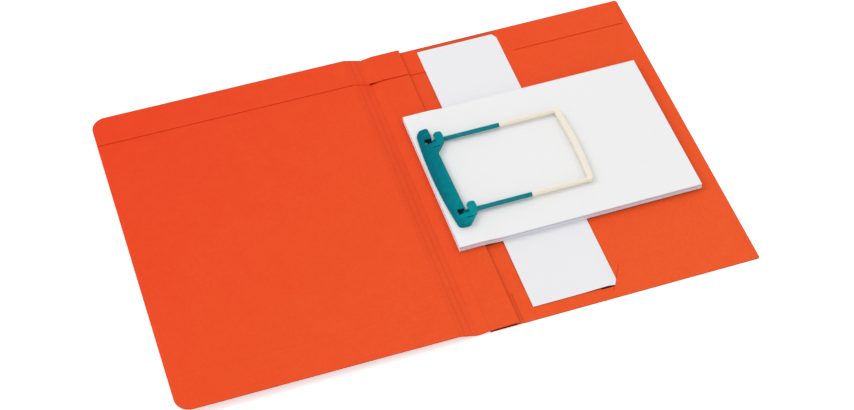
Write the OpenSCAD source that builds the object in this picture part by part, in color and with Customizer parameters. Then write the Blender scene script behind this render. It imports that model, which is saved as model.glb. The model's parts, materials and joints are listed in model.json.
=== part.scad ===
// Clip folder, lying open with a block of punched sheets in its two-prong filing clip.
// X runs across the open folder with the front cover at the left, Y runs up the page, Z is up.
// The origin is on the table, under the middle of the open folder.

/* [Board] */
// Thickness of the folder board
board_t = 0.5; // [0.3:0.05:0.8]
// Height of the front sheet, which makes the front cover, the spine and the glue flange
front_h = 310; // [260:1:360]
// Width of the front cover, from its crease to its outer edge
front_w = 224; // [190:1:228]
// Radius of the front cover's outer corners
front_corner_r = 12.5; // [2:0.5:25]
// How far the back cover's top edge lies below the front sheet's; their bottom edges are level
back_step = 2; // [0:0.5:8]
// Width of the back cover, from the flange crease to its outer edge
back_w = 228.5; // [222:0.5:260]
// Radius of the back cover's outer corners
back_corner_r = 1.5; // [0.5:0.5:20]
// Width of the glue flange, which covers the clip's base plate
flange_w = 24.6; // [24:0.2:32]

/* [Hems] */
// Depth of the folded hems; all raw edges at one end of the folder are level
hem_w = 30; // [10:0.5:45]
// How far the back cover's top hem runs under the flange
hem_under = 1; // [0.5:0.1:4]
// Gap between the flange's free edge and the back cover's bottom hem
hem_start = 3.6; // [1:0.2:6]
// How far the inner corner of a back hem is cut back from the outer edge
hem_taper = 5; // [1:0.5:15]

/* [Spine] */
// Width of the spine panel next to the flange
spine_back_w = 10; // [6:0.5:14]
// Width of the spine panel next to the front cover
spine_front_w = 16; // [13:0.5:22]
// Slope of the panel next to the flange, negative where it runs down to the table
spine_back_slope = -10; // [-10:1:10]
// Slope of the panel next to the front cover
spine_front_slope = 18; // [0:1:40]
// Slope of the front cover, which the board's spring holds just off the table
front_slope = 0.5; // [0:0.1:5]
// Distance between the score lines pressed in the spine
score_pitch = 5.7; // [4:0.1:6]
// Width of a score line
score_w = 0.9; // [0.4:0.1:1.5]
// Depth of a score line
score_d = 0.15; // [0.05:0.05:0.2]
// Gap left at a crease, between the bead of one panel and the end of the next
crease_gap = 0.15; // [0.1:0.05:0.4]

/* [Card strip] */
// Width of the loose card strip
strip_w = 71.8; // [50:0.2:100]
// Thickness of the card
strip_t = 0.4; // [0.2:0.05:0.8]
// Distance from the flange's free edge to the strip
strip_gap = 15.1; // [6:0.1:30]
// Distance from the top of the strip to the top edge of the back cover
strip_top_gap = 4.5; // [1:0.1:20]
// Distance from the bottom of the strip to the bottom edge of the back cover
strip_bottom_gap = 11.5; // [7:0.1:20]
// Width of each slit in the back cover that takes a corner of the strip
slit_w = 0.5; // [0.4:0.1:1.5]
// Length of the strip's edge that is lost where a corner goes into its slit
tuck_len = 5.2; // [4:0.2:12]
// Angle of the slits to the bottom edge
slit_angle = 60; // [45:1:75]
// Length of a slit beside the strip
slit_side_len = 14.5; // [5:0.5:25]
// Length of the lower slit past the end of the strip
slit_end_len = 6; // [1:0.5:8]

/* [Sheets] */
// Width of a sheet
sheet_w = 210; // [180:1:214]
// Height of a sheet
sheet_h = 148; // [130:1:220]
// Number of sheets
sheet_count = 55; // [20:1:70]
// Thickness of one sheet
sheet_t = 0.1; // [0.05:0.01:0.12]
// Distance from a sheet's left edge to its punched holes
punch_edge = 12; // [11:0.5:14]
// Diameter of the punched holes
punch_d = 6; // [5:0.5:7]
// How far the sheets sit above the clip's middle
sheet_shift = 2; // [-10:0.5:10]

/* [Clip] */
// Distance between the two prongs
prong_pitch = 80; // [70:1:90]
// Outer diameter of the prong tubes
tube_od = 3.8; // [3.4:0.1:4.2]
// Bore of the prong tubes
tube_id = 2.6; // [2.2:0.1:2.8]
// Length of the prong tubes from the punched hole to the open end
tube_reach = 61; // [40:0.5:80]
// Thickness of a prong where it is folded flat in the bar's slot
fold_t = 1.2; // [1.2:0.1:2.4]
// Length of the flat fold, from the punched hole
fold_flat = 3; // [2:0.2:4]
// Length over which the flat fold grows round again
fold_grow = 3; // [2:0.2:4]
// Distance from the flange crease to the prongs
prong_x = 14.8; // [14:0.1:16]
// How far the clip's middle lies above the folder's middle
clip_y = -1.7; // [-20:0.1:20]
// Length of the base plate under the flange
base_len = 112; // [100:1:140]
// Width of the base plate
base_w = 16; // [12:0.5:17]
// Thickness of the base plate
base_t = 1.5; // [1:0.1:2]
// Clearance round a part that passes another
clear = 0.3; // [0.2:0.05:0.35]

/* [Clip bar] */
// Width of the bar at its middle
bar_w = 13.2; // [11:0.2:14.4]
// How far the curved edge of the bar bulges
bar_bulge = 3.2; // [1:0.2:4]
// Distance from the prongs to the bar's straight edge
bar_edge = 3.2; // [3:0.1:4.5]
// Length of the bar above the upper prong
bar_top_len = 12.8; // [11:0.2:20]
// Length of the bar below the lower prong
bar_bottom_len = 14; // [14:0.5:24]
// Width of the bevel along the bar's edges
bar_bevel = 0.5; // [0.4:0.1:1]
// How much lower the bar's curved edge is than its straight edge, which is level with the hooks
bar_crown = 3.2; // [1:0.1:3.4]
// Radius of the bar's corners
bar_corner_r = 4.5; // [1:0.5:6]
// How far the loose bar is turned on its prongs, in degrees
bar_turn = 1.2; // [-1.2:0.1:1.2]
// Extra width of a slot below its prong, where the prong is folded over
slot_room = 1.7; // [0.2:0.1:2.4]
// Length of the ramp that leads a tube down into its slot
ramp_len = 8.2; // [4:0.2:10]
// Depth of the ramp at the slot
ramp_d = 1.2; // [0.4:0.1:1.6]
// How far a hook reaches past the bar's straight edge
hook_reach = 9.5; // [7:0.1:12]
// Length of a hook below its prong, where it grows out of the bar
hook_root = 13.5; // [10:0.5:14]
// Length of a hook above its prong, where the tube slips in
hook_tip = 6.4; // [5:0.2:9]
// Width of the notch between the bar and a hook's free end
hook_notch = 2; // [1:0.1:2.4]
// Thickness of a hook's plate
hook_t = 1.2; // [0.8:0.1:2]
// Length of the recess moulded in each hook's root
pocket_len = 5.5; // [3:0.5:7]
// Width of the recess
pocket_w = 1.3; // [0.8:0.1:2]
// Depth of the recess
pocket_d = 0.8; // [0.4:0.1:1]
// Distance from a prong down to the recess
pocket_drop = 9.6; // [8.5:0.1:11]

/* [Clip bow] */
// Distance from the prongs to the outer edge of the bow
bow_reach = 117; // [105:0.2:130]
// Thickness of the bow's legs, across flats
bow_d = 4; // [3.4:0.1:4.4]
// Width of the bow's crossbar at its ends
bow_bar_w = 4.2; // [4:0.1:6]
// How far the inner edge of the crossbar is bowed outwards
bow_sag = 1.8; // [0.4:0.1:4]
// How much wider the crossbar is at its middle
bow_swell = 1; // [0.4:0.1:2]
// Radius of the bow's outer corners
bow_corner_r = 4; // [1:0.5:8]
// Length of the bow's pins inside the tubes
pin_len = 30; // [10:1:36]

/* [Hidden] */
$fn = 96;

orange = "#f0542a";
teal = "#0a7f84";
cream = "#f0e6d2";
white = "#f2f2f0";

// Heights, from the table up
hem_top = 2 * board_t;
flange_z = board_t + base_t;
flange_top = flange_z + board_t;
strip_top = hem_top + strip_t;
block_t = (sheet_count - 1) * sheet_t;
stack_t = sheet_count * sheet_t;
bar_z = flange_top + stack_t;
tube_z = bar_z + clear + tube_od / 2;
hook_z = tube_z + tube_od / 2 + clear;

// Places across the folder
back_run = spine_back_w * cos(spine_back_slope);
front_run = spine_front_w * cos(spine_front_slope);
open_w = back_w + back_run + front_run + front_w * cos(front_slope);
back_edge_x = open_w / 2;
flange_x = back_edge_x - back_w;
flange_edge_x = flange_x + flange_w;
hole_x = flange_x + prong_x;
strip_x = flange_edge_x + strip_gap;
sheet_x = hole_x - punch_edge;

// Crease lines, each an axis along Y at the middle of the board
flange_crease = [flange_x, 0, flange_z + board_t / 2];
valley_crease = flange_crease + spine_back_w * [-cos(spine_back_slope), 0, sin(spine_back_slope)];
front_crease = valley_crease + spine_front_w * [-cos(spine_front_slope), 0, sin(spine_front_slope)];

// Places up the page
bottom_y = -front_h / 2;
back_h = front_h - back_step;
back_top_y = bottom_y + back_h;
strip_top_y = back_top_y - strip_top_gap;
strip_bottom_y = bottom_y + strip_bottom_gap;
strip_len = strip_top_y - strip_bottom_y;
sheet_mid_y = clip_y + sheet_shift;

// A panel stops short of the next panel's bead, and its hem stops where a square fold closes
panel_gap = board_t / 2 + crease_gap;
hem_gap = 1.5 * board_t + crease_gap;

// Small amount by which a cut passes the face that it starts from
eps = 0.5;

// A rectangle whose two corners at the far end of X are rounded
module tab_outline(w, h, r) {
    difference() {
        translate([0, -h / 2]) square([w, h]);
        for (side = [-1, 1])
            translate([w, side * h / 2]) corner_cut(r, -1, -side);
    }
}

// The waste outside a rounded corner, which lies towards (dx, dy) from the corner
module corner_cut(r, dx, dy) {
    difference() {
        translate([dx * r / 2, dy * r / 2]) square([r, r], center = true);
        translate([dx * r, dy * r]) circle(r);
        translate([dx * r, dy * r / 2]) square([eps * r, r], center = true);
    }
}

// Places its children on a folded panel: hinged on a crease, running to -X at a slope
module on_crease(crease, slope) {
    translate(crease) rotate([0, slope, 0]) children();
}

// A board panel that runs to -X from the bead on its crease
module spine_panel(w) {
    translate([panel_gap - w, -front_h / 2, -board_t / 2]) cube([w - panel_gap, front_h, board_t]);
    rotate([90, 0, 0]) cylinder(d = board_t, h = front_h, center = true);
}

// The hem of a spine panel, folded onto its inner face; end is 1 at the top and -1 at the bottom
module spine_hem(w, end) {
    translate([hem_gap - w, end > 0 ? front_h / 2 - hem_w : -front_h / 2, board_t / 2])
        cube([w - 2 * hem_gap, hem_w, board_t]);
}

// The score lines pressed in the inner face at height z, counted from the valley crease
module scores(z) {
    for (i = [1 : 2])
        translate([-i * score_pitch - score_w / 2, -front_h, z - score_d])
            cube([score_w, 2 * front_h, board_t]);
}

// The front cover's outline, running to -X from its crease
module front_outline(gap) {
    difference() {
        mirror([1, 0]) tab_outline(front_w, front_h, front_corner_r);
        translate([-gap, -front_h]) square([2 * front_h, 2 * front_h]);
    }
}

module front_hem(end) {
    translate([0, 0, board_t / 2])
        linear_extrude(board_t)
            intersection() {
                front_outline(hem_gap);
                translate([-2 * front_w, end > 0 ? front_h / 2 - hem_w : -front_h / 2 - eps])
                    square([2 * front_w, hem_w + eps]);
            }
}

module front_cover() {
    color(orange) on_crease(front_crease, front_slope) {
        translate([0, 0, -board_t / 2]) linear_extrude(board_t) front_outline(0);
        rotate([90, 0, 0]) cylinder(d = board_t, h = front_h, center = true);
    }
}

module front_top_hem() {
    color(orange) on_crease(front_crease, front_slope) front_hem(1);
}

module front_bottom_hem() {
    color(orange) on_crease(front_crease, front_slope) front_hem(-1);
}

module spine_front() {
    color(orange) on_crease(valley_crease, spine_front_slope)
        difference() {
            spine_panel(spine_front_w);
            scores(board_t / 2);
        }
}

module spine_front_hem(end) {
    color(orange) on_crease(valley_crease, spine_front_slope)
        difference() {
            spine_hem(spine_front_w, end);
            scores(1.5 * board_t);
        }
}

module spine_front_top_hem() {
    spine_front_hem(1);
}

module spine_front_bottom_hem() {
    spine_front_hem(-1);
}

module spine_back() {
    color(orange) on_crease(flange_crease, spine_back_slope) spine_panel(spine_back_w);
}

module spine_back_top_hem() {
    color(orange) on_crease(flange_crease, spine_back_slope) spine_hem(spine_back_w, 1);
}

module spine_back_bottom_hem() {
    color(orange) on_crease(flange_crease, spine_back_slope) spine_hem(spine_back_w, -1);
}

// Puts its children at the upper and lower prongs
module at_prongs() {
    for (side = [-1, 1])
        translate([hole_x, clip_y + side * prong_pitch / 2, 0]) children();
}

module glue_flange() {
    color(orange)
        difference() {
            translate([flange_x + panel_gap, bottom_y, flange_z])
                cube([flange_w - panel_gap, front_h, board_t]);
            at_prongs() translate([0, 0, flange_z - eps]) cylinder(d = tube_od + 2 * clear, h = board_t + 2 * eps);
        }
}

module flange_hem(end) {
    color(orange)
        translate([flange_x + hem_gap, end > 0 ? -bottom_y - hem_w : bottom_y, flange_top])
            cube([flange_w - hem_gap, hem_w, board_t]);
}

module flange_top_hem() {
    flange_hem(1);
}

module flange_bottom_hem() {
    flange_hem(-1);
}

// Where each slit crosses the strip's outer edge; end is 1 at the top and -1 at the bottom
function slit_start(end) =
    [strip_x + strip_w, end > 0 ? strip_top_y - tuck_len : strip_bottom_y + tuck_len];

// Length of a slit past its start, to the end of the strip and beyond it
tuck_run = tuck_len / sin(slit_angle);
top_tail = strip_top_gap / 4;

// A strip of plane along a slit, from run a beside the strip to run b past its end
module slit_outline(end, a, b, w) {
    translate(slit_start(end))
        mirror([0, end > 0 ? 1 : 0])
            rotate(slit_angle)
                translate([-b, -w / 2]) square([a + b, w]);
}

module slits() {
    for (end = [-1, 1])
        slit_outline(end, slit_side_len, tuck_run + (end > 0 ? top_tail : slit_end_len), slit_w);
}

module back_cover() {
    color(orange)
        linear_extrude(board_t)
            difference() {
                translate([flange_x, bottom_y + back_h / 2]) tab_outline(back_w, back_h, back_corner_r);
                slits();
            }
}

module back_hem(end) {
    fold_y = end > 0 ? back_top_y : bottom_y;
    raw_y = end * (front_h / 2 - hem_w);
    start_x = flange_edge_x + (end > 0 ? -hem_under : hem_start);
    color(orange)
        translate([0, 0, board_t])
            linear_extrude(board_t)
                difference() {
                    polygon([[start_x, fold_y], [start_x, raw_y], [back_edge_x - hem_taper, raw_y],
                             [back_edge_x - back_corner_r, fold_y]]);
                    slits();
                }
}

module back_top_hem() {
    back_hem(1);
}

module back_bottom_hem() {
    back_hem(-1);
}

// The strip lies on the back hems, and a lip at each tucked corner goes down into its slit
module card_strip() {
    color(white) {
        translate([0, 0, hem_top])
            linear_extrude(strip_t)
                difference() {
                    translate([strip_x, strip_bottom_y]) square([strip_w, strip_len]);
                    for (end = [-1, 1])
                        translate(slit_start(end))
                            mirror([0, end > 0 ? 1 : 0])
                                rotate(slit_angle)
                                    translate([-2 * strip_w, -2 * strip_w - slit_w / 4])
                                        square([4 * strip_w, 2 * strip_w]);
                }
        for (end = [-1, 1])
            translate([0, 0, board_t / 4])
                linear_extrude(hem_top + strip_t - board_t / 4)
                    intersection() {
                        translate([strip_x, strip_bottom_y]) square([strip_w, strip_len]);
                        slit_outline(end, 0, tuck_run, slit_w / 2);
                    }
    }
}

// The base plate lies between the back cover and the flange, and carries both prong tubes
module clip_base() {
    r = base_w / 4;
    color(teal)
        translate([hole_x, clip_y, board_t])
            linear_extrude(base_t) {
                square([base_w - 2 * r, base_len], center = true);
                square([base_w, base_len - 2 * r], center = true);
                for (sx = [-1, 1], sy = [-1, 1])
                    translate([sx * (base_w / 2 - r), sy * (base_len / 2 - r)]) circle(r);
            }
}

module ring(d_out, d_in) {
    difference() {
        circle(d = d_out);
        circle(d = d_in);
    }
}

// The folded part of a prong: pinched flat over the punched hole, then growing round again
fold_len = fold_flat + fold_grow;
module prong_fold() {
    top = fold_t - tube_od / 2;
    difference() {
        union() {
            rotate([0, 90, 0]) cylinder(d = tube_od, h = fold_len);
            translate([0, 0, -tube_od / 2]) cylinder(d = tube_od, h = fold_t);
        }
        rotate([90, 0, 0])
            linear_extrude(2 * tube_od, center = true)
                polygon([[-tube_od, top], [fold_flat, top], [fold_len, top + tube_od], [-tube_od, top + tube_od]]);
    }
}

// A flexible prong: up through the sheets, folded over in the bar's slot and out along the top sheet
module prong_tube(side) {
    color(teal)
        translate([hole_x, clip_y + side * prong_pitch / 2, 0]) {
            translate([0, 0, flange_z]) linear_extrude(bar_z + clear - flange_z) ring(tube_od, tube_id);
            translate([0, 0, tube_z]) {
                prong_fold();
                translate([fold_len, 0, 0])
                    rotate([0, 90, 0]) linear_extrude(tube_reach - fold_len) ring(tube_od, tube_id);
            }
        }
}

module upper_tube() {
    prong_tube(1);
}

module lower_tube() {
    prong_tube(-1);
}

// Height of what carries the sheets: the flange, a smooth fall, then the card strip
drape_steps = 8;
function drape(x) =
    x <= flange_edge_x ? flange_top :
    x >= strip_x ? strip_top :
    strip_top + (flange_top - strip_top) * (1 + cos(180 * (x - flange_edge_x) / strip_gap)) / 2;
drape_x = concat([sheet_x],
                 [for (i = [0 : drape_steps]) flange_edge_x + strip_gap * i / drape_steps],
                 [sheet_x + sheet_w]);

// Sheets from height a to height b above what carries them, with their punched holes
module sheets(a, b) {
    n = len(drape_x);
    lower = [for (x = drape_x) [x, drape(x) + a]];
    upper = [for (i = [1 : n]) [drape_x[n - i], drape(drape_x[n - i]) + b]];
    color(white)
        difference() {
            translate([0, sheet_mid_y, 0])
                rotate([90, 0, 0])
                    linear_extrude(sheet_h, center = true) polygon(concat(lower, upper));
            at_prongs() translate([0, 0, flange_top - eps]) cylinder(d = punch_d, h = stack_t + 2 * eps);
        }
}

module sheet_block() {
    sheets(0, block_t);
}

module top_sheet() {
    sheets(block_t, stack_t);
}

// Radius of an arc over a chord of half length h, which rises by sag
function arc_r(h, sag) = (h * h + sag * sag) / (2 * sag);

// How far a rounded corner is set out, so that it crosses the arc next to it and doesn't just touch it
crossing = 0.1;

// The bar: straight and high along the bow's side, bulging on the other, where its top rounds down
bar_len = bar_top_len + prong_pitch + bar_bottom_len;
bar_mid = (bar_top_len - bar_bottom_len) / 2;
bar_arc_r = arc_r(bar_len / 2, bar_bulge);
bar_crown_r = arc_r(bar_w, bar_crown);
bar_t = hook_z + hook_t - bar_z;

module bar_plate() {
    upper_t = bar_crown + bar_bevel;
    lower_t = bar_t - upper_t;
    corner_y = bar_len / 2 - bar_corner_r;
    corner_x = bar_edge - bar_w + bar_arc_r - sqrt(pow(bar_arc_r - bar_corner_r, 2) - pow(corner_y, 2)) - crossing;
    difference() {
        translate([0, bar_mid, 0])
            intersection() {
                translate([bar_edge - bar_w + bar_arc_r, 0, 0]) {
                    cylinder(r = bar_arc_r, h = lower_t, $fn = 360);
                    translate([0, 0, lower_t])
                        cylinder(r1 = bar_arc_r, r2 = bar_arc_r - upper_t, h = upper_t, $fn = 360);
                }
                translate([bar_edge - bar_w, -bar_len / 2, 0]) cube([bar_w, bar_len, bar_t]);
                translate([bar_edge, 0, bar_t - bar_crown_r])
                    rotate([90, 0, 0]) cylinder(r = bar_crown_r, h = 2 * bar_len, center = true, $fn = 360);
            }
        for (end = [-1, 1])
            translate([0, bar_mid, -eps])
                linear_extrude(bar_t + 2 * eps) {
                    translate([corner_x, end * corner_y])
                        difference() {
                            translate([-bar_w, end > 0 ? 0 : -bar_w]) square(bar_w);
                            circle(bar_corner_r);
                        }
                    translate([bar_edge, end * bar_len / 2]) corner_cut(bar_corner_r / 2, -1, -end);
                }
        translate([bar_edge, bar_mid - bar_len, bar_t - bar_bevel])
            rotate([0, -45, 0]) cube([bar_t, 2 * bar_len, bar_t]);
    }
}

// A hook's outline round a prong at the origin: rooted below it, open above it
hook_x = bar_edge + hook_reach;
hook_lap = 1;
throat = tube_od / 2 + clear;
module hook_outline() {
    tip_r = hook_reach / 4;
    inner_x = bar_edge + hook_notch;
    tip_y = hook_tip - tip_r;
    polygon([[bar_edge - hook_lap, -hook_root], [bar_edge, -hook_root],
             [hook_x - tip_r / 2, -throat * 1.8], [hook_x, -throat], [hook_x, tip_y],
             [hook_x - tip_r, hook_tip], [inner_x + tip_r, hook_tip],
             [inner_x, tip_y], [inner_x, -throat - slot_room], [bar_edge - hook_lap, -throat - slot_room]]);
    translate([hook_x - tip_r, tip_y]) circle(tip_r);
}

// The hook's foot stands on the top sheet beside the prong, and its plate passes over the prong
module hook() {
    translate([0, 0, hook_z - bar_z]) linear_extrude(hook_t) hook_outline();
    linear_extrude(bar_t)
        intersection() {
            hook_outline();
            translate([0, -hook_root]) square([hook_x, hook_root - throat]);
        }
}

// A prong's slot through the bar, open under the hook, with a three-cornered ramp above it
module bar_slot() {
    slot_left = -tube_od;
    translate([slot_left, -throat - slot_room, -eps])
        cube([bar_w, 2 * throat + slot_room, bar_t + 2 * eps]);
    translate([0, throat, bar_t - ramp_d])
        rotate([atan(ramp_d / ramp_len), 0, 0])
            linear_extrude(bar_t)
                polygon([[slot_left / 2, -eps], [bar_edge + eps, -eps], [bar_edge / 2, ramp_len]]);
}

module clip_bar() {
    color(teal)
        translate([hole_x, clip_y, bar_z])
            rotate([0, 0, bar_turn])
                difference() {
                    union() {
                        difference() {
                            bar_plate();
                            for (side = [-1, 1])
                                translate([0, side * prong_pitch / 2, 0]) bar_slot();
                        }
                        for (side = [-1, 1])
                            translate([0, side * prong_pitch / 2, 0]) hook();
                    }
                    for (side = [-1, 1])
                        translate([bar_edge - 2 * hook_lap, side * prong_pitch / 2 - pocket_drop, bar_t - pocket_d])
                            cube([pocket_len, pocket_w, 2 * pocket_d]);
                }
}

// An eight-sided section, flat on top, so that the bow lies flat on the sheets
module bow_section() {
    rotate(22.5) circle(d = bow_d / cos(22.5), $fn = 8);
}

// The crossbar: a shallow arc, swelling towards its middle, with its two outer corners rounded off
bow_half = (prong_pitch + bow_d) / 2;
bow_inner_x = bow_reach - bow_swell - bow_sag - bow_bar_w;
module bow_crossbar() {
    inner_r = arc_r(bow_half, bow_sag);
    outer_r = arc_r(bow_half, bow_sag + bow_swell);
    side_y = bow_half - bow_corner_r;
    corner_x = bow_reach - outer_r + sqrt(pow(outer_r - bow_corner_r, 2) - pow(side_y, 2)) + crossing;
    translate([0, 0, -bow_d / 2])
        linear_extrude(bow_d)
            intersection() {
                difference() {
                    translate([bow_reach - outer_r, 0]) circle(outer_r, $fn = 360);
                    translate([bow_inner_x + bow_sag - inner_r, 0]) circle(inner_r, $fn = 360);
                }
                union() {
                    translate([bow_inner_x - bow_d, -bow_half])
                        square([corner_x - bow_inner_x + bow_d, 2 * bow_half]);
                    translate([bow_inner_x - bow_d, -side_y])
                        square([bow_reach - bow_inner_x + 2 * bow_d, 2 * side_y]);
                    for (side = [-1, 1])
                        translate([corner_x, side * side_y]) circle(bow_corner_r);
                }
            }
}

// The bow: two legs with thin pins inside the tubes, joined by the crossbar
module clip_bow() {
    color(cream)
        translate([hole_x, clip_y, tube_z]) {
            for (side = [-1, 1])
                translate([tube_reach, side * prong_pitch / 2, 0])
                    rotate([0, 90, 0]) {
                        linear_extrude(bow_inner_x + bow_bar_w / 2 - tube_reach) bow_section();
                        translate([0, 0, -pin_len]) cylinder(d = tube_id - 2 * clear, h = pin_len + eps);
                    }
            bow_crossbar();
        }
}

back_cover();
back_top_hem();
back_bottom_hem();
glue_flange();
flange_top_hem();
flange_bottom_hem();
spine_back();
spine_back_top_hem();
spine_back_bottom_hem();
spine_front();
spine_front_top_hem();
spine_front_bottom_hem();
front_cover();
front_top_hem();
front_bottom_hem();
card_strip();
clip_base();
upper_tube();
lower_tube();
sheet_block();
top_sheet();
clip_bar();
clip_bow();
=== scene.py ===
import json
import math

import bmesh
import bpy
from mathutils import Matrix, Vector


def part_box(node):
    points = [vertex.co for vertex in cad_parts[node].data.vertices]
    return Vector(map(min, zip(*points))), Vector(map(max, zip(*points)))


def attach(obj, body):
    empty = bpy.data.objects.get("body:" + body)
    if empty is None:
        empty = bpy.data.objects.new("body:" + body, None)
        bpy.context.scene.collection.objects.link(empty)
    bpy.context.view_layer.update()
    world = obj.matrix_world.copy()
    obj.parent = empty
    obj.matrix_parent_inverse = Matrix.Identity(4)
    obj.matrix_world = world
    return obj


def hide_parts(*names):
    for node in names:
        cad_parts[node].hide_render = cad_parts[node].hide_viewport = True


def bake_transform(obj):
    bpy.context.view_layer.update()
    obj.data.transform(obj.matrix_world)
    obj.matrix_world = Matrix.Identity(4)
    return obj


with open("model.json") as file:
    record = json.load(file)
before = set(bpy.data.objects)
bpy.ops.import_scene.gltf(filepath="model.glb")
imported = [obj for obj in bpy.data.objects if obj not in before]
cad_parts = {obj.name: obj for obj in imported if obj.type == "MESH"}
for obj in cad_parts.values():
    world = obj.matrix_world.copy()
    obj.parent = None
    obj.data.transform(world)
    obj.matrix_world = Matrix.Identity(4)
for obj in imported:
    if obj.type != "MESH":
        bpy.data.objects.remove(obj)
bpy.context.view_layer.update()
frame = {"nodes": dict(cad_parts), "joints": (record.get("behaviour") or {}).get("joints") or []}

# Back sheet: one blank of dyed pressboard, half a millimetre thick. Its top and bottom ends are
# folded in as hems, and two slanting slits are cut through it to hold the corners of the card.
board_t = 0.0005
fold_nose = 0.00028
board_deep = (0.816, 0.055, 0.0115, 1)
# The second, paler orange is a painted sheen: the board goes over to it towards one corner, where light
# falls brighter.
board_sheen = (0.852, 0.107, 0.021, 1)
# The pressed colour darkens the board's pores, and is also painted shade in its creases, score lines and
# bottom slit.
board_pores_and_shade = (0.60, 0.028, 0.006, 1)
# The dull colour is painted shade: a band beyond the card's top end, and the bottom slit's edges.
board_dull_shade = (0.50, 0.075, 0.022, 1)
# The cut colour is painted shade on the board's upright cut edges.
board_edge_shade = (0.54, 0.028, 0.009, 1)
board_shade = (0.060, 0.004, 0.002, 1)


def put(tree, kind, feeds=None, **settings):
    """Adds a node to a tree, sets its properties, and feeds its inputs with values or with outputs."""
    made = tree.nodes.new(kind)
    for key, value in settings.items():
        setattr(made, key, value)
    for socket, value in (feeds or {}).items():
        if isinstance(value, bpy.types.NodeSocket):
            tree.links.new(value, made.inputs[socket])
        else:
            made.inputs[socket].default_value = value
    return made


def start_material(name):
    """A new node material: its tree, its shader, and where a point lies on the piece."""
    material = bpy.data.materials.new(name)
    material.use_nodes = True
    tree = material.node_tree
    place = put(tree, "ShaderNodeTexCoord").outputs["Object"]
    return material, tree, tree.nodes["Principled BSDF"], place


def tint(tree, below, share, colour):
    """The colour below, gone over to another colour by a share that varies over the surface."""
    mix = put(tree, "ShaderNodeMix", data_type="RGBA")
    tree.links.new(share, mix.inputs["Factor"])
    tree.links.new(below, mix.inputs["A"])
    mix.inputs["B"].default_value = colour
    return mix.outputs["Result"]


def facing_up(tree):
    """How far a face looks up out of the open folder: 1 straight up, 0 upright, and -1 straight down."""
    normal = put(tree, "ShaderNodeTexCoord").outputs["Normal"]
    return put(tree, "ShaderNodeSeparateXYZ", {"Vector": normal}).outputs["Z"]


def upright(tree):
    """A share that is 1 on the upright faces of a piece, which are its cut edges, and 0 on flat ones."""
    flatness = put(tree, "ShaderNodeMath", {0: facing_up(tree)}, operation="ABSOLUTE").outputs[0]
    return put(tree, "ShaderNodeMapRange",
               {"Value": flatness, "From Min": 0.6, "From Max": 0.3}).outputs[0]


def pressboard(name, edge=board_edge_shade, deep=board_deep, sheen=board_sheen):
    """Dyed fibre board: short fibres along X, a painted sheen that pales it to one corner, and a fine dry
    tooth.
    """
    material, tree, shader, place = start_material(name)
    fibre_run, sheen_way = (700, 2600, 2600), (4.0, -4.5, 0)
    run = put(tree, "ShaderNodeMapping", {"Vector": place, "Scale": fibre_run}).outputs["Vector"]
    fibres = put(tree, "ShaderNodeTexNoise",
                 {"Vector": run, "Scale": 1.0, "Detail": 5.0, "Roughness": 0.6}).outputs["Fac"]
    clouds = put(tree, "ShaderNodeTexNoise",
                 {"Vector": place, "Scale": 70.0, "Detail": 3.0}).outputs["Fac"]
    mottle = put(tree, "ShaderNodeMath", {0: fibres, 1: clouds}, operation="ADD").outputs[0]
    sheen_trend = put(tree, "ShaderNodeVectorMath",
                 {0: place, 1: sheen_way}, operation="DOT_PRODUCT").outputs["Value"]
    share = put(tree, "ShaderNodeMath", {0: mottle, 1: sheen_trend}, operation="ADD").outputs[0]
    share = put(tree, "ShaderNodeMapRange",
                {"Value": share, "From Min": -0.67, "From Max": 2.67}).outputs[0]
    ramp = put(tree, "ShaderNodeValToRGB", {"Fac": share})
    ramp.color_ramp.elements[0].color = deep
    ramp.color_ramp.elements[1].color = sheen
    pores = put(tree, "ShaderNodeTexNoise",
                {"Vector": place, "Scale": 380.0, "Detail": 3.0}).outputs["Fac"]
    pores = put(tree, "ShaderNodeMapRange",
                {"Value": pores, "From Min": 0.3, "From Max": 0.7, "To Max": 0.16}).outputs[0]
    colour = tint(tree, ramp.outputs["Color"], pores, board_pores_and_shade)
    # Painted shade on the upright cut edges, where an edge colour is given.
    if edge:
        colour = tint(tree, colour, upright(tree), edge)
    dull = put(tree, "ShaderNodeMapRange",
               {"Value": mottle, "From Min": 0.6, "From Max": 1.4,
                "To Min": 0.62, "To Max": 0.5}).outputs[0]
    tooth = put(tree, "ShaderNodeBump", {"Height": fibres, "Strength": 0.25, "Distance": 0.00004})
    tree.links.new(colour, shader.inputs["Base Color"])
    tree.links.new(dull, shader.inputs["Roughness"])
    tree.links.new(tooth.outputs["Normal"], shader.inputs["Normal"])
    shader.inputs["Specular IOR Level"].default_value = 0.1
    return material, tree, shader, place, colour


def patch(tree, place, low, high, most, soft):
    """A share that is most inside a box and nothing outside it, with a soft border."""
    share, at = most, put(tree, "ShaderNodeSeparateXYZ", {"Vector": place}).outputs
    for axis, start, end in zip("XYZ", low, high):
        rise = put(tree, "ShaderNodeMapRange", {"Value": at[axis], "From Min": start,
                                                "From Max": start + soft, "To Max": share}).outputs[0]
        share = put(tree, "ShaderNodeMapRange", {"Value": at[axis], "From Min": end + soft,
                                                 "From Max": end, "To Max": rise}).outputs[0]
    return share


def dress(material, *nodes):
    """Gives a material to solids that keep their own shape."""
    for name in nodes:
        frame["nodes"][name].material_slots[0].material = material


def joined_copy(node):
    """A copy of a solid to work on, with its loose triangles joined."""
    made = bmesh.new()
    made.from_mesh(frame["nodes"][node].data)
    bmesh.ops.remove_doubles(made, verts=made.verts, dist=2e-7)
    return made


def finished(name, made, material):
    """The piece that a worked mesh becomes, in one material."""
    mesh = bpy.data.meshes.new(name)
    made.to_mesh(mesh)
    made.free()
    mesh.materials.clear()
    mesh.materials.append(material)
    piece = bpy.data.objects.new(name, mesh)
    bpy.context.collection.objects.link(piece)
    return piece


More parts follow.
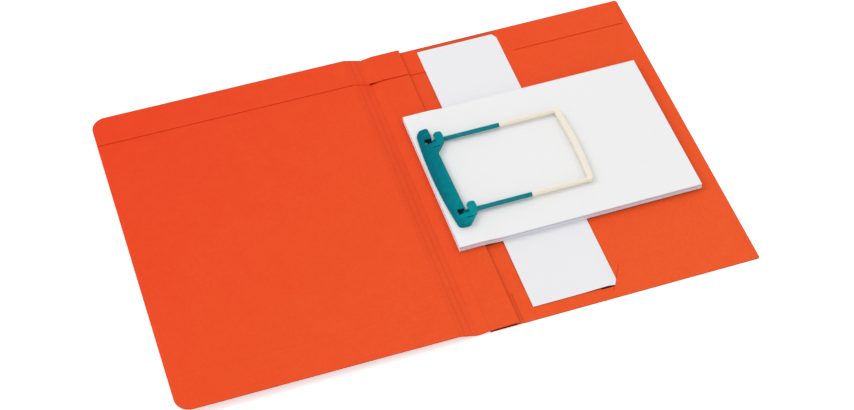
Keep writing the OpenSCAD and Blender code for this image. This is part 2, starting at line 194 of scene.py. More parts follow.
def prisms(name, ring_sets, material):
    """A piece of closed prisms, each through its own rings of points and capped at both ends."""
    made = bmesh.new()
    for rings in ring_sets:
        loops = [[made.verts.new(point) for point in ring] for ring in rings]
        for one, two in zip(loops, loops[1:]):
            for i, corner in enumerate(one):
                j = (i + 1) % len(one)
                made.faces.new((corner, one[j], two[j], two[i]))
        made.faces.new(loops[0][::-1])
        made.faces.new(loops[-1])
    bmesh.ops.recalc_face_normals(made, faces=made.faces)
    return finished(name, made, material)


def hem_fold(name, seam, end, material, body):
    """The rounded nose of a folded edge, along the seam between a panel and its hem."""
    run = (seam[-1] - seam[0]).normalized()
    up = Vector((-run.z, 0, run.x)) if run.x > 0 else Vector((run.z, 0, -run.x))
    flap, proud, steps = 0.0014, 0.000012, 8
    section = [(-flap, board_t), (-flap / 2, board_t + proud)]
    for i in range(steps + 1):
        turn = math.pi / 2 - math.pi * i / steps
        section.append((fold_nose * math.cos(turn), (board_t + proud) * math.sin(turn)))
    section += [(-flap / 2, -board_t - proud), (-flap, -board_t)]
    rings = [[spot + up * v + Vector((0, end * u, 0)) for u, v in section] for spot in seam]
    piece = prisms(name, [rings], material)
    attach(piece, body)


def ease(value):
    """0 below 0, 1 above 1, and a smooth rise between them."""
    value = min(max(value, 0.0), 1.0)
    return value * value * (3 - 2 * value)


def shaped(node, material, shift, body, cells):
    """A copy of a flat solid, cut into cells so that it can bend, with every point moved by its shift."""
    made = joined_copy(node)
    low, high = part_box(node)
    for axis, count in enumerate(cells):
        across = Vector((axis == 0, axis == 1, 0))
        for i in range(1, count):
            level = low[axis] + (high[axis] - low[axis]) * i / count
            bmesh.ops.bisect_plane(made, geom=made.verts[:] + made.edges[:] + made.faces[:],
                                   dist=1e-7, plane_co=across * level, plane_no=across)
    for vertex in made.verts:
        vertex.co += shift(vertex.co)
    piece = finished(node + "_bent", made, material)
    piece.data.shade_smooth()
    piece.data.set_sharp_from_angle(angle=math.radians(30))
    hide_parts(node)
    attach(piece, body)


card_lo, card_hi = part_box("card_strip")
flange_lo, flange_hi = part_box("glue_flange")
block_lo, block_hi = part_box("sheet_block")
raw_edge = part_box("back_top_hem")[0]
flat_from, flat_to = card_lo.x + 0.020, card_hi.x + 0.008
flat_ramp, flat_depth, flat_share = 0.003, 0.0015, 0.95
patch_top, raw_reach, shade_reach = 0.01, 0.001, 0.02
slit_clear, gap_len, gap_w = 0.003, 0.0145, 0.0013
flange_clear = 0.0025

back_board, tree, shader, place, colour = pressboard("back_pressboard", None)
# Painted shade on the cut edges, left off along the top hem's raw edge beside the card, where the hem is
# pressed flat.
flat = patch(tree, place, (flat_from, raw_edge.y - raw_reach, 0),
             (flat_to + flat_ramp / 2, raw_edge.y + raw_reach, patch_top), most=1.0, soft=0.0006)
raw = put(tree, "ShaderNodeMath", {0: upright(tree), 1: flat}, operation="SUBTRACT", use_clamp=True)
colour = tint(tree, colour, raw.outputs[0], board_edge_shade)

# Painted shade: the gaps beside and under other pieces are narrow and look dark, so the sheet is darkened
# there, and a lighter painted shade lies beyond the card's top end.
beyond_card = patch(tree, place, (card_lo.x, card_hi.y, 0),
                    (card_hi.x, card_hi.y + shade_reach / 2, patch_top), most=0.45, soft=0.0006)
under_card = patch(tree, place, (card_lo.x, card_lo.y - 0.0002, 0),
                   (card_hi.x - slit_clear, card_lo.y + shade_reach, patch_top), most=0.9, soft=0.0002)
card_gap = patch(tree, place, (card_hi.x - gap_len, card_lo.y - gap_w, board_t),
                 (card_hi.x - slit_clear, card_lo.y, patch_top), most=0.95, soft=0.0002)
under_sheets = patch(tree, place, (flange_hi.x, block_lo.y, 0),
                     (block_hi.x - 0.001, block_lo.y + shade_reach, patch_top), most=0.85, soft=0.0003)
under_flange = patch(tree, place, (flange_lo.x, -1, 0),
                     (flange_hi.x - flange_clear, 1, patch_top), most=0.95, soft=0.0006)
colour = tint(tree, colour, beyond_card, board_dull_shade)
for gap in (under_card, card_gap, under_sheets, under_flange):
    colour = tint(tree, colour, gap, board_shade)
tree.links.new(colour, shader.inputs["Base Color"])
dress(back_board, "back_cover", "back_bottom_hem")


def pressed_flat(spot):
    """How far the top hem is pressed down onto the sheet, along its raw edge beside the card."""
    beside = ease((spot.x - flat_from) / flat_ramp) * (1 - ease((spot.x - flat_to) / flat_ramp))
    at_edge = 1 - ease((spot.y - raw_edge.y) / flat_depth)
    return Vector((0, 0, -flat_share * beside * at_edge * (spot.z - raw_edge.z)))


shaped("back_top_hem", back_board, pressed_flat, "back_half", cells=(60, 30))
nose_inset = 0.0002
for end, node in ((1, "back_top_hem"), (-1, "back_bottom_hem")):
    low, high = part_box(node)
    edge = high.y if end > 0 else low.y
    seam = [Vector((x, edge, low.z)) for x in (low.x + nose_inset, high.x - nose_inset)]
    hem_fold(node + "_fold", seam, end, back_board, "back_half")

# Each slit shows past the card's side and past its end, and the card goes through it between them.
# Painted shade: the bottom slit's edges are in a darker board, so that the slit reads dark where the card
# lifts beside it.
slit_shade_board, *_ = pressboard("slit_shade_pressboard", None, board_pores_and_shade, board_dull_shade)
slit_turn, slit_half, slit_foot = math.radians(60), 0.00023, 0.00005
tuck_len = 0.0052
tucked = tuck_len / math.sin(slit_turn)
past_side, past_end_from = (0.0003, 0.0143), 0.0002
for end, word, past_end_to, top, board in ((1, "top", 0.0010, 0.00098, back_board),
                                           (-1, "bottom", 0.0059, 0.00085, slit_shade_board)):
    start = Vector((card_hi.x, (card_hi.y if end > 0 else card_lo.y) - end * tuck_len, 0))
    run = Vector((math.cos(slit_turn), -end * math.sin(slit_turn), 0))
    side = Vector((-run.y, run.x, 0)) * slit_half
    section = [side * w + Vector((0, 0, z))
               for w, z in ((-1, slit_foot), (1, slit_foot), (1, top), (-1, top))]
    cuts = (past_side, (-tucked - past_end_to, -tucked - past_end_from))
    slit = prisms(word + "_slit_edges",
                  [[[start + run * s + spot for spot in section] for s in cut] for cut in cuts], board)
    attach(slit, "back_half")

# Front sheet: the larger blank of the same board. Three creases and two pressed score lines part it
# into the glue flange, the two spine panels and the front cover, and its ends are hemmed as well.
halves = ["back_half", "spine_inner", "spine_outer", "front_half"]
creases = [Vector(joint["pos_m"]) for joint in frame["joints"] if joint["type"] == "hinge"]
front_lo, front_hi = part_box("front_cover")
flange_end = Vector((flange_hi.x, 0, (flange_lo.z + flange_hi.z) / 2))
front_end = Vector((front_lo.x, 0, front_hi.z - board_t / 2))
corners = [flange_end] + creases + [front_end]
clip_y = sum(corner.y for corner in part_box("clip_bar")) / 2
hem_w = 0.030
crease_reach = 0.0026
score_pitch, score_w = 0.0057, 0.0009
flange_free, flange_taper = 0.003, 0.0006
flange_lift, lift_from, lift_run = 0.0005, 0.05, 0.09
valley_spring, panel_spring, edge_spring = 0.0018, 0.0006, 0.0002
spring_outer, spring_inner = 0.0024, 0.005
hem_clearance = 0.0008
flange_edge_shade = (0.72, 0.046, 0.011, 1)
ridge_w, ridge_highlight_colour = 0.0008, (0.90, 0.17, 0.045, 1)


def flange_set(spot):
    """How the flange lies: sprung up at its bottom end, where it is also cut a little narrower."""
    free_from = creases[0].x + flange_free
    out = min(max((spot.x - free_from) / (flange_hi.x - free_from), 0.0), 1.0)
    down = (front_hi.y - spot.y) / (front_hi.y - front_lo.y)
    sprung = ease((clip_y - lift_from - spot.y) / lift_run)
    return Vector((-flange_taper * out * down, 0, flange_lift * out * sprung))


def hem_spring(spot):
    """How far a top hem springs off its panel: most at its raw edge beside the valley crease."""
    raw = min(max((front_hi.y - spot.y) / hem_w, 0.0), 1.0)
    past = spot.x - creases[1].x
    if past < 0:
        most = valley_spring * max(0.0, 1 + past / spring_outer)
    else:
        most = (valley_spring - panel_spring) * max(0.0, 1 - past / spring_inner)
        most += panel_spring - (panel_spring - edge_spring) * past / (flange_hi.x - creases[1].x)
    return Vector((0, 0, most * raw * raw))


def cut_back(spot):
    """How far a sprung hem is cut back at the flange crease, so that two hems clear when it folds."""
    past = spot.x - creases[0].x
    return Vector((math.copysign(hem_clearance * max(0.0, 1 - abs(past) / crease_reach), past), 0, 0))


sheet_board, tree, shader, place, colour = pressboard("front_pressboard")
hem_edge = front_lo.y + hem_w
# Painted highlight: a pale line along the raw edge of the bottom hems, where the light catches it.
ridge_highlight = patch(tree, place, (-1, hem_edge - ridge_w, -1),
              (creases[2].x, hem_edge, 1), most=0.16, soft=ridge_w / 2)
tree.links.new(tint(tree, colour, ridge_highlight, ridge_highlight_colour), shader.inputs["Base Color"])
dress(sheet_board, "spine_back_bottom_hem", "front_cover", "front_top_hem", "front_bottom_hem")

# The flange and the spine's back panel take a lighter painted shade on their cut edges.
flange_board, *_ = pressboard("flange_pressboard", flange_edge_shade)
# Painted shade: darker under the top hem and under the sheets, on faces that look up.
covered_board, tree, shader, place, colour = pressboard("covered_pressboard", flange_edge_shade)
shade_under_hem = patch(tree, place, (creases[1].x, front_hi.y - hem_w + 0.0002, -1),
                  (flange_hi.x - 0.001, 1, 1), most=0.95, soft=0.0002)
under_block = patch(tree, place, (block_lo.x, block_lo.y - 0.0004, -1),
                    (flange_hi.x, block_hi.y, 1), most=0.8, soft=0.0002)
shade = put(tree, "ShaderNodeMath", {0: shade_under_hem, 1: under_block}, operation="MAXIMUM").outputs[0]
shade = put(tree, "ShaderNodeMapRange",
            {"Value": facing_up(tree), "From Max": 0.3, "To Max": shade}).outputs[0]
tree.links.new(tint(tree, colour, shade, board_shade), shader.inputs["Base Color"])
dress(covered_board, "spine_back")
shaped("glue_flange", covered_board, flange_set, "back_half", cells=(6, 40))
shaped("flange_bottom_hem", flange_board, flange_set, "back_half", cells=(6, 6))
shaped("flange_top_hem", flange_board,
       lambda spot: flange_set(spot) + hem_spring(spot) + cut_back(spot),
       "back_half", cells=(6, 10))
shaped("spine_back_top_hem", sheet_board,
       lambda spot: hem_spring(spot) + cut_back(spot), "spine_inner", cells=(3, 10))

# Painted shade: dark lines along the two score lines of the spine.
scored_board, tree, shader, place, colour = pressboard("scored_pressboard", None)
across = put(tree, "ShaderNodeSeparateXYZ", {"Vector": place}).outputs["X"]
spine_run = (creases[2] - creases[1]).normalized()
for i in (1, 2):
    score_x = creases[1].x + spine_run.x * i * score_pitch
    away = put(tree, "ShaderNodeMath", {0: across, 1: score_x}, operation="SUBTRACT").outputs[0]
    away = put(tree, "ShaderNodeMath", {0: away}, operation="ABSOLUTE").outputs[0]
    pressed_shade = put(tree, "ShaderNodeMapRange",
                  {"Value": away, "From Min": score_w, "From Max": score_w * 0.3,
                   "To Max": 0.12}).outputs[0]
    colour = tint(tree, colour, pressed_shade, board_pores_and_shade)
tree.links.new(colour, shader.inputs["Base Color"])
dress(scored_board, "spine_front", "spine_front_top_hem", "spine_front_bottom_hem")

# The noses of the hems stop short of the creases, whose bands have noses of their own, and of the
# rounded corners of the front cover. The flange's nose follows its set.
nose_lap, nose_past, corner_r = 0.0006, 0.0002, 0.0127
nose_short = crease_reach - nose_lap
for i, body in enumerate(halves):
    run = (corners[i + 1] - corners[i]).normalized()
    up = Vector((run.z, 0, -run.x))
    start, stop = corners[i] + up * board_t / 2, corners[i + 1] + up * board_t / 2
    seam = [start + run * nose_short, stop - run * nose_short]
    if body == "back_half":
        seam = [start - run * nose_past, stop - run * flange_free, seam[1]]
    if body == "front_half":
        seam[1] = stop - run * corner_r
    for end, word in ((1, "top"), (-1, "bottom")):
        edge = front_hi.y if end > 0 else front_lo.y
        line = [Vector((spot.x, edge, spot.z)) for spot in seam]
        if body == "back_half":
            line = [spot + flange_set(spot) for spot in line]
        hem_fold(f"{body}_{word}_fold", line, end, sheet_board, body)

# Creases of the front sheet: lines pressed into the board so that it bends there. The board is one
# sheet across them, so each is a narrow bent band of it, with its hems.
# Painted shade darkens each crease line, and the band under its top hem.
crease_shade_share, crease_w, crease_bend = 0.3, 0.0012, 0.0014
hem_shade = 0.95
creased_board, tree, shader, place, colour = pressboard("creased_pressboard", None)
pressed_shade = put(tree, "ShaderNodeAttribute", attribute_name="crease").outputs["Fac"]
pressed_shade = put(tree, "ShaderNodeMath", {0: pressed_shade, 1: crease_shade_share}, operation="MULTIPLY").outputs[0]
colour = tint(tree, colour, pressed_shade, board_pores_and_shade)
shade_under = put(tree, "ShaderNodeAttribute", attribute_name="shade_under_hem").outputs["Fac"]
tree.links.new(tint(tree, colour, shade_under, board_shade), shader.inputs["Base Color"])


def crease_band(name, before, at, after):
    """The board either side of a crease, as one bent band with a hem layer at its top and bottom."""
    one, two = (before - at).normalized(), (after - at).normalized()
    over, steps, nose_steps = 0.00002, 8, 5
    path = [at + one * crease_reach, at + one * (crease_reach + crease_bend) / 2]
    for i in range(steps + 1):
        turned = i / steps
        path.append(at + one * crease_bend * (1 - turned) ** 2 + two * crease_bend * turned ** 2)
    path += [at + two * (crease_reach + crease_bend) / 2, at + two * crease_reach]
    ups, proud = [], []
    for i in range(len(path)):
        run = (path[min(i + 1, len(path) - 1)] - path[max(i - 1, 0)]).normalized()
        ups.append(Vector((run.z, 0, -run.x)))
        proud.append(over if 0 < i < len(path) - 1 else 0.0)

    def ring(y, low, high, shift=None):
        upper = [p + u * (high + o) for p, u, o in zip(path, ups, proud)]
        lower = [p + u * (low - o) for p, u, o in zip(path, ups, proud)]
        points = [Vector((p.x, y, p.z)) for p in upper + lower[::-1]]
        return [point + shift(point) for point in points] if shift else points

    half, low, high = board_t / 2, front_lo.y, front_hi.y
    hem_at, shade_from, shade_full = high - hem_w, 0.0002, 0.0005
    base_y = (low, low + hem_w, hem_at, hem_at + shade_from, hem_at + shade_full, high)
    sets = [[ring(y, -half, half) for y in base_y],
            [ring(y, half, 3 * half) for y in (low, low + hem_w)],
            [ring(high - hem_w * i / steps, half, 3 * half, hem_spring) for i in range(steps + 1)]]
    for edge, out in ((low, -fold_nose), (high, fold_nose)):
        nose = []
        for i in range(nose_steps):
            turn = math.pi / 2 * i / nose_steps
            thick = board_t * math.cos(turn)
            nose.append(ring(edge + out * math.sin(turn), half - thick, half + thick))
        sets.append(nose)
    piece = prisms(name, sets, creased_board)
    # Points near the crease and under the top hem are marked for painted shade.
    crease_shade_mark = piece.data.attributes.new("crease", "FLOAT", "POINT")
    for i, vertex in enumerate(piece.data.vertices):
        away = math.hypot(vertex.co.x - at.x, vertex.co.z - at.z)
        crease_shade_mark.data[i].value = max(0.0, 1 - away / crease_w)
    cover = piece.data.attributes.new("shade_under_hem", "FLOAT", "POINT")
    for number, y in enumerate(base_y):
        for i in range(len(path)):
            cover.data[number * 2 * len(path) + i].value = hem_shade if y >= hem_at + shade_full else 0.0
    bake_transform(piece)


for i, word in enumerate(("flange", "valley", "cover")):
    crease_band(word + "_crease", corners[i], corners[i + 1], corners[i + 2])

# Card strip: smooth white card, cut to length. It lies loose on the back sheet's hems, and its two
# outer corners are tucked through the slits.
card, tree, shader, place = start_material("white_card")
flecks = put(tree, "ShaderNodeTexNoise", {"Vector": place, "Scale": 900.0, "Detail": 4.0}).outputs["Fac"]
ramp = put(tree, "ShaderNodeValToRGB", {"Fac": flecks})
ramp.color_ramp.elements[0].color = (0.79, 0.79, 0.81, 1)
ramp.color_ramp.elements[1].color = (0.84, 0.84, 0.85, 1)
tooth = put(tree, "ShaderNodeBump", {"Height": flecks, "Strength": 0.15, "Distance": 0.00003})
tree.links.new(ramp.outputs["Color"], shader.inputs["Base Color"])
tree.links.new(tooth.outputs["Normal"], shader.inputs["Normal"])
shader.inputs["Roughness"].default_value = 0.6
shader.inputs["Specular IOR Level"].default_value = 0.3

corner_bow, corner_ramp, corner_fall = 0.0008, 0.006, 0.030
corner_len, corner_len_fall = 0.008, 0.045
edge_bow, edge_ramp, edge_fall = 0.0003, 0.004, 0.030


def card_bow(spot):
    """How the card bows up: beside the corner that the bottom slit holds, and along its bottom edge."""
    side, end = card_hi.x - spot.x, spot.y - card_lo.y
    held = min(side, side * math.sin(slit_turn) + (end - tuck_len) * math.cos(slit_turn))
    beside = ease(held / corner_ramp) * (1 - ease((side - corner_ramp) / corner_fall))
    beside *= 1 - ease((end - corner_len) / corner_len_fall)
    along = ease(held / edge_ramp) * (1 - ease(end / edge_fall))
    return Vector((0, 0, corner_bow * beside + edge_bow * along))


shaped("card_strip", card, card_bow, "back_half", cells=(36, 100))

# Clip base and prong tubes: one teal polypropylene moulding. The plate lies under the flange, and
# the two hollow tubes stand up through the sheets and are bent over flat on top of them.
bar_lo, bar_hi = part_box("clip_bar")
teal_deep, teal_light = (0.0, 0.145, 0.185, 1), (0.001, 0.270, 0.300, 1)
teal_shade = (0.0, 0.016, 0.022, 1)
tube_radius, tube_shade_len = 0.0002, 0.0115


def plastic(name, dark, light, roughness, gloss, middle=None, light_lean=None):
    """Moulded plastic: a colour that clouds, with painted light that can lighten it to one side, and a
    fine spark texture.
    """
    material, tree, shader, place = start_material(name)
    flow = put(tree, "ShaderNodeTexNoise",
               {"Vector": place, "Scale": 160.0, "Detail": 2.0}).outputs["Fac"]
    spark = put(tree, "ShaderNodeTexNoise",
                {"Vector": place, "Scale": 5200.0, "Detail": 2.0}).outputs["Fac"]
    if light_lean:
        away = put(tree, "ShaderNodeVectorMath", {0: place, 1: middle}, operation="SUBTRACT")
        away = put(tree, "ShaderNodeVectorMath",
                   {0: away.outputs["Vector"], 1: light_lean}, operation="DOT_PRODUCT").outputs["Value"]
        flow = put(tree, "ShaderNodeMath", {0: flow, 1: away}, operation="ADD").outputs[0]
    ramp = put(tree, "ShaderNodeValToRGB", {"Fac": flow})
    ramp.color_ramp.elements[0].color = dark
    ramp.color_ramp.elements[1].color = light
    dull = put(tree, "ShaderNodeMapRange",
               {"Value": spark, "To Min": roughness - 0.05, "To Max": roughness + 0.07}).outputs[0]
    skin = put(tree, "ShaderNodeBump", {"Height": spark, "Strength": 0.2, "Distance": 0.00002})
    tree.links.new(ramp.outputs["Color"], shader.inputs["Base Color"])
    tree.links.new(dull, shader.inputs["Roughness"])
    tree.links.new(skin.outputs["Normal"], shader.inputs["Normal"])
    shader.inputs["Specular IOR Level"].default_value = gloss
    return material, tree, shader, place, ramp.outputs["Color"]


def moulded(name, node, material, radius, body, voxel=None, reshape=None):
    """A copy of a solid with a mould's radius on its edges, or all over it where a voxel size is given."""
    passes_per_voxel = 4
    made = joined_copy(node)
    bmesh.ops.dissolve_limit(made, angle_limit=math.radians(0.6), verts=made.verts, edges=made.edges)
    if reshape:
        reshape(made)
    piece = finished(name, made, material)
    piece.data.shade_smooth()
    if voxel:
        skin = piece.modifiers.new("mould_skin", "REMESH")
        skin.mode = "VOXEL"
        skin.voxel_size = voxel
        skin.use_smooth_shade = True
        soft = piece.modifiers.new("mould_radius", "SMOOTH")
        soft.iterations = int(radius / voxel * passes_per_voxel)
    else:
        bevel = piece.modifiers.new("mould_radius", "BEVEL")
        bevel.width = radius
        bevel.segments = 3
        bevel.limit_method = "ANGLE"
        bevel.angle_limit = math.radians(35)
        piece.data.set_sharp_from_angle(angle=math.radians(15))
    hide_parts(node)
    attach(piece, body)


tube_teal, tree, shader, place, colour = plastic(
    "tube_polypropylene", teal_deep, teal_light, roughness=0.16, gloss=0.11)
# Painted shade: the tubes are darkened where they lie down in the bar's slots.
tube_slot_shade = patch(tree, place, (bar_lo.x, -1, bar_lo.z),
                (bar_lo.x + tube_shade_len, 1, bar_hi.z), most=0.9, soft=0.001)
tree.links.new(tint(tree, colour, tube_slot_shade, teal_shade), shader.inputs["Base Color"])
dress(tube_teal, "clip_base")
for node in ("upper_tube", "lower_tube"):
    moulded(node + "_moulding", node, tube_teal, tube_radius, "back_half")

# Punched sheets: a block of white office paper with two holes, threaded on the prongs. The sheets
# lie on the flange, sag off its edge, and lie on the card beyond it.
paper_edge_shade, gap_sheet_shade = (0.78, 0.80, 0.89, 1), (0.48, 0.45, 0.66, 1)
paper, tree, shader, place = start_material("office_paper")
pulp = put(tree, "ShaderNodeTexNoise", {"Vector": place, "Scale": 420.0, "Detail": 5.0}).outputs["Fac"]
ramp = put(tree, "ShaderNodeValToRGB", {"Fac": pulp})
ramp.color_ramp.elements[0].color = (0.825, 0.822, 0.826, 1)
ramp.color_ramp.elements[1].color = (0.865, 0.862, 0.864, 1)
tooth = put(tree, "ShaderNodeBump", {"Height": pulp, "Strength": 0.12, "Distance": 0.00003})
# Painted shade: the sheets' upright edges are tinted lilac-grey.
colour = tint(tree, ramp.outputs["Color"], upright(tree), paper_edge_shade)
# Painted shade: a few sheets in the block are darkened, for the dark line between two bundles along its
# edges.
gap_shade = put(tree, "ShaderNodeAttribute", attribute_name="gap_shade").outputs["Fac"]
tree.links.new(tint(tree, colour, gap_shade, gap_sheet_shade), shader.inputs["Base Color"])
tree.links.new(tooth.outputs["Normal"], shader.inputs["Normal"])
shader.inputs["Roughness"].default_value = 0.85
shader.inputs["Specular IOR Level"].default_value = 0.2

tube_r = 0.0019
prongs = sorted((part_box(name) for name in ("upper_tube", "lower_tube")), key=lambda box: box[0].y)
hole_x = prongs[0][0].x + tube_r
hole_y = [(low.y + high.y) / 2 for low, high in prongs]
clip_mid = Vector((hole_x, sum(hole_y) / 2, 0))
block_mid, block_size = (block_lo + block_hi) / 2 - clip_mid, block_hi - block_lo
sheet_t, sheet_share = 0.0001, 0.93


def node_sizes(tree, sizes):
    """Named inputs for a tree of geometry nodes, with their values, and its one output."""
    inputs = {}
    for name, (kind, value) in sizes.items():
        socket = tree.interface.new_socket(name, in_out="INPUT", socket_type=kind)
        inputs[socket.identifier] = value
    tree.interface.new_socket("Mesh", in_out="OUTPUT", socket_type="NodeSocketGeometry")
    return inputs


def reverse(tree, vector):
    """A vector turned the other way."""
    turned = put(tree, "ShaderNodeVectorMath", {0: vector, "Scale": -1.0}, operation="SCALE")
    return turned.outputs["Vector"]


def either_way(tree, most, seed):
    """A random vector for each sheet, up to the most on either side of none."""
    return put(tree, "FunctionNodeRandomValue", {"Min": reverse(tree, most), "Max": most, "Seed": seed},
               data_type="FLOAT_VECTOR").outputs[0]


def grown(name, tree, values):
    """The plain mesh that a tree of geometry nodes grows from its values."""
    piece = bpy.data.objects.new(name, bpy.data.meshes.new(name + "_start"))
    bpy.context.collection.objects.link(piece)
    nodes = piece.modifiers.new("nodes", "NODES")
    nodes.node_group = tree
    for identifier, value in values.items():
        nodes[identifier] = value
    graph = bpy.context.evaluated_depsgraph_get()
    graph.update()
    mesh = bpy.data.meshes.new_from_object(piece.evaluated_get(graph), depsgraph=graph)
    piece.modifiers.remove(nodes)
    piece.data = mesh
    return piece


stack = bpy.data.node_groups.new("punched_sheets", "GeometryNodeTree")
values = node_sizes(stack, {
    "Sheet": ("NodeSocketVector", (block_size.x, block_size.y, sheet_t * sheet_share)),
    "Sheet middle": ("NodeSocketVector", (block_mid.x, block_mid.y, 0)),
    "Sheets": ("NodeSocketInt", 55),
    "Pitch": ("NodeSocketVector", (0, 0, sheet_t)),
    "First sheet": ("NodeSocketVector", (clip_mid.x, clip_mid.y, flange_hi.z + sheet_t / 2)),
    "Hole radius": ("NodeSocketFloat", 0.0024),
    "Hole offset": ("NodeSocketVector", (0, hole_y[1] - clip_mid.y, 0)),
    "Fall from": ("NodeSocketFloat", flange_hi.x - clip_mid.x),
    "Fall to": ("NodeSocketFloat", card_lo.x - clip_mid.x),
    "Fall by": ("NodeSocketFloat", flange_hi.z - card_hi.z),
    "Slack": ("NodeSocketVector", (0.00012, 0.00012, 0)),
    "Skew": ("NodeSocketVector", (0, 0, math.radians(0.035))),
    "Gap shade sheet": ("NodeSocketInt", 40),
    "Gap shade reach": ("NodeSocketFloat", 2.5),
    "Seed": ("NodeSocketInt", 7),
    "Paper": ("NodeSocketMaterial", paper),
})
given = put(stack, "NodeGroupInput").outputs
blank = put(stack, "GeometryNodeMeshCube", {"Size": given["Sheet"], "Vertices X": 64}).outputs["Mesh"]
blank = put(stack, "GeometryNodeTransform",
            {"Geometry": blank, "Translation": given["Sheet middle"]}).outputs[0]
punch = put(stack, "GeometryNodeMeshCylinder",
            {"Vertices": 24, "Radius": given["Hole radius"], "Depth": 0.01}).outputs["Mesh"]
punches = put(stack, "GeometryNodeJoinGeometry")
for shift in (given["Hole offset"], reverse(stack, given["Hole offset"])):
    moved = put(stack, "GeometryNodeTransform", {"Geometry": punch, "Translation": shift}).outputs[0]
    stack.links.new(moved, punches.inputs[0])
cut = put(stack, "GeometryNodeMeshBoolean",
          {"Mesh 1": blank, "Mesh 2": punches.outputs[0]}, operation="DIFFERENCE").outputs[0]
spot = put(stack, "GeometryNodeInputPosition").outputs[0]
along = put(stack, "ShaderNodeSeparateXYZ", {0: spot}).outputs["X"]
fall = put(stack, "ShaderNodeMapRange",
           {"Value": along, "From Min": given["Fall from"], "From Max": given["Fall to"],
            "To Max": given["Fall by"]}, interpolation_type="SMOOTHSTEP").outputs[0]
drop = put(stack, "ShaderNodeMath", {0: fall, 1: -1.0}, operation="MULTIPLY").outputs[0]
drop = put(stack, "ShaderNodeCombineXYZ", {"Z": drop}).outputs[0]
sheet = put(stack, "GeometryNodeSetPosition", {"Geometry": cut, "Offset": drop}).outputs[0]
spots = put(stack, "GeometryNodeMeshLine",
            {"Count": given["Sheets"], "Start Location": given["First sheet"],
             "Offset": given["Pitch"]}, mode="OFFSET").outputs[0]
skew = either_way(stack, given["Skew"], given["Seed"])
stir = either_way(stack, given["Slack"], given["Seed"])
number = put(stack, "GeometryNodeInputIndex").outputs[0]
# Sheets near the given one are marked for painted shade.
apart = put(stack, "ShaderNodeMath",
            {0: number, 1: given["Gap shade sheet"]}, operation="SUBTRACT").outputs[0]
apart = put(stack, "ShaderNodeMath", {0: apart}, operation="ABSOLUTE").outputs[0]
gap_shade = put(stack, "ShaderNodeMath",
             {0: apart, 1: given["Gap shade reach"]}, operation="LESS_THAN").outputs[0]
pile = put(stack, "GeometryNodeInstanceOnPoints",
           {"Points": spots, "Instance": sheet, "Rotation": skew}).outputs[0]
pile = put(stack, "GeometryNodeStoreNamedAttribute",
           {"Geometry": pile, "Name": "gap_shade", "Value": gap_shade},
           data_type="FLOAT", domain="INSTANCE").outputs[0]
pile = put(stack, "GeometryNodeTranslateInstances", {"Instances": pile, "Translation": stir}).outputs[0]
pile = put(stack, "GeometryNodeRealizeInstances", {"Geometry": pile}).outputs[0]
pile = put(stack, "GeometryNodeSetMaterial", {"Geometry": pile, "Material": given["Paper"]}).outputs[0]
stack.links.new(pile, put(stack, "NodeGroupOutput").inputs[0])

sheets = grown("punched_sheets", stack, values)
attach(sheets, "back_half")
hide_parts("sheet_block", "top_sheet")

# Clip bar: a teal polypropylene moulding that presses the sheets down. A prong comes up through the
# slot at each end and is bent over under the hook that stands beside it.
# Painted light: the bar's colour is lighter towards one side.
bar_radius, slope_more, bar_light_lean = 0.00035, 0.0006, (50, -4, 0)
slot_back, slot_front, slot_half, slot_top = 0.0046, 0.008, 0.0045, 0.0022
bar_teal, tree, shader, place, colour = plastic(
    "bar_polypropylene", teal_deep, teal_light, roughness=0.45, gloss=0.03,
    middle=(bar_lo + bar_hi) / 2, light_lean=bar_light_lean)
# Painted shade: the bar is darkened inside its slots.
for y in hole_y:
    bar_slot_shade = patch(tree, place, (hole_x - slot_back, y - slot_half, bar_lo.z),
                    (hole_x + slot_front, y + slot_half, bar_hi.z - slot_top), most=0.85, soft=0.0006)
    colour = tint(tree, colour, bar_slot_shade, teal_shade)
tree.links.new(colour, shader.inputs["Base Color"])


def wider_slope(made):
    """Widens the slope along the bar's inner edge: its upper side moves in, and its lower side down."""
    made.normal_update()
    slopes = [face for face in made.faces if min(face.normal.x, face.normal.z) > 0.6]
    slope = max(slopes, key=lambda face: face.calc_area())
    middle = slope.calc_center_median().z
    for vertex in slope.verts:
        upper = vertex.co.z > middle
        vertex.co += Vector((-slope_more, 0, 0)) if upper else Vector((0, 0, -slope_more))


moulded("clip_bar_moulding", "clip_bar", bar_teal, bar_radius, "back_half", reshape=wider_slope)

# Clip bow: a cream polypropylene moulding. Its two pins push into the ends of the prong tubes, and
# its crossbar swells in the middle, where fingers pull it out.
cream_deep, cream_light = (0.84, 0.775, 0.64, 1), (0.89, 0.83, 0.70, 1)
bow_radius, bow_voxel = 0.0006, 0.00025
cream, *_ = plastic("cream_polypropylene", cream_deep, cream_light, roughness=0.42, gloss=0.12)
moulded("clip_bow_moulding", "clip_bow", cream, bow_radius, "bow", bow_voxel)

# Table and light: a plain white table, one large soft lamp on the left, weaker ones behind on the
# right and in front, and an even white room.


def lamp(name, at, size, power):
    """A square soft lamp that faces the folder."""
    light = bpy.data.lights.new(name, "AREA")
    light.size = size
    light.energy = power
    made = bpy.data.objects.new(name, light)
    bpy.context.collection.objects.link(made)
    facing = (-Vector(at)).to_track_quat("-Z", "Y").to_matrix().to_4x4()
    made.matrix_world = Matrix.Translation(at) @ facing


lamp("left_lamp", at=(-3.0, 1.4, 3.6), size=2.4, power=56)
lamp("back_right_lamp", at=(3.0, 2.4, 3.2), size=2.4, power=10)
lamp("front_lamp", at=(0.9, -4.2, 2.4), size=3.0, power=14)

table_half, table_z = 4, -0.0002
table_corners = [(x * table_half, y * table_half, table_z)
                 for x, y in ((-1, -1), (1, -1), (1, 1), (-1, 1))]
table_mesh = bpy.data.meshes.new("table")
table_mesh.from_pydata(table_corners, [], [(0, 1, 2, 3)])
table = bpy.data.objects.new("table", table_mesh)
bpy.context.collection.objects.link(table)


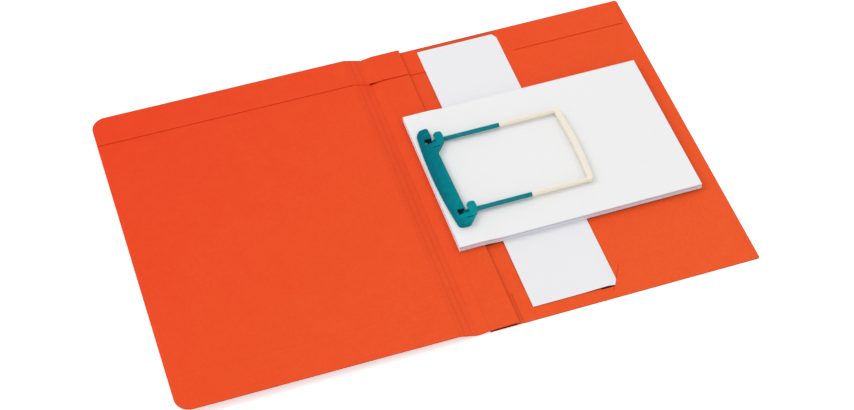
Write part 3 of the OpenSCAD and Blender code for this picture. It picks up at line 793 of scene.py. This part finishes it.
def white_where_seen(tree):
    """1 for rays that show the background, 0 for rays that carry light to the object."""
    rays = put(tree, "ShaderNodeLightPath").outputs
    seen = rays["Is Camera Ray"]
    for also in ("Is Glossy Ray", "Is Transmission Ray"):
        seen = put(tree, "ShaderNodeMath", {0: seen, 1: rays[also]}, operation="MAXIMUM").outputs[0]
    return seen


table_glow = 0.45
table_white = bpy.data.materials.new("table_white")
table_white.use_nodes = True
tree = table_white.node_tree
tree.nodes.remove(tree.nodes["Principled BSDF"])
top = put(tree, "ShaderNodeBsdfDiffuse", {"Color": (0.86, 0.86, 0.86, 1)}).outputs[0]
glow = put(tree, "ShaderNodeMath",
           {0: white_where_seen(tree), 1: table_glow}, operation="MULTIPLY").outputs[0]
glow = put(tree, "ShaderNodeEmission", {"Strength": glow}).outputs[0]
both = put(tree, "ShaderNodeAddShader", {0: top, 1: glow}).outputs[0]
tree.links.new(both, tree.nodes["Material Output"].inputs["Surface"])
table_mesh.materials.append(table_white)

room_light, room_white = 0.82, 1.0
room = bpy.data.worlds.new("white_room")
room.use_nodes = True
bpy.context.scene.world = room
tree = room.node_tree
level = put(tree, "ShaderNodeMapRange",
            {"Value": white_where_seen(tree), "To Min": room_light, "To Max": room_white}).outputs[0]
tree.links.new(level, tree.nodes["Background"].inputs["Strength"])
tree.nodes["Background"].inputs["Color"].default_value = (1, 1, 1, 1)

# Camera: where the photograph was taken from, in front of the folder's bottom edge and a little to the
# left. Its place, turn and lens are solved from the edges of the folder and its sheets.
camera_at = (-0.313385, -1.003139, 1.252258)
heading, look_down, roll = math.radians(-17.84984), math.radians(50.40366), math.radians(-0.69527)
lens = bpy.data.cameras.new("photo_camera")
lens.lens = 83.69
lens.sensor_width = 36
lens.sensor_fit = "HORIZONTAL"
lens.clip_end = 20
camera = bpy.data.objects.new("photo_camera", lens)
bpy.context.collection.objects.link(camera)
camera.matrix_world = (Matrix.Translation(camera_at)
                       @ Matrix.Rotation(heading, 4, "Z")
                       @ Matrix.Rotation(math.pi / 2 - look_down, 4, "X")
                       @ Matrix.Rotation(roll, 4, "Z"))
bpy.context.scene.camera = camera
bpy.context.scene.view_settings.view_transform = "Standard"
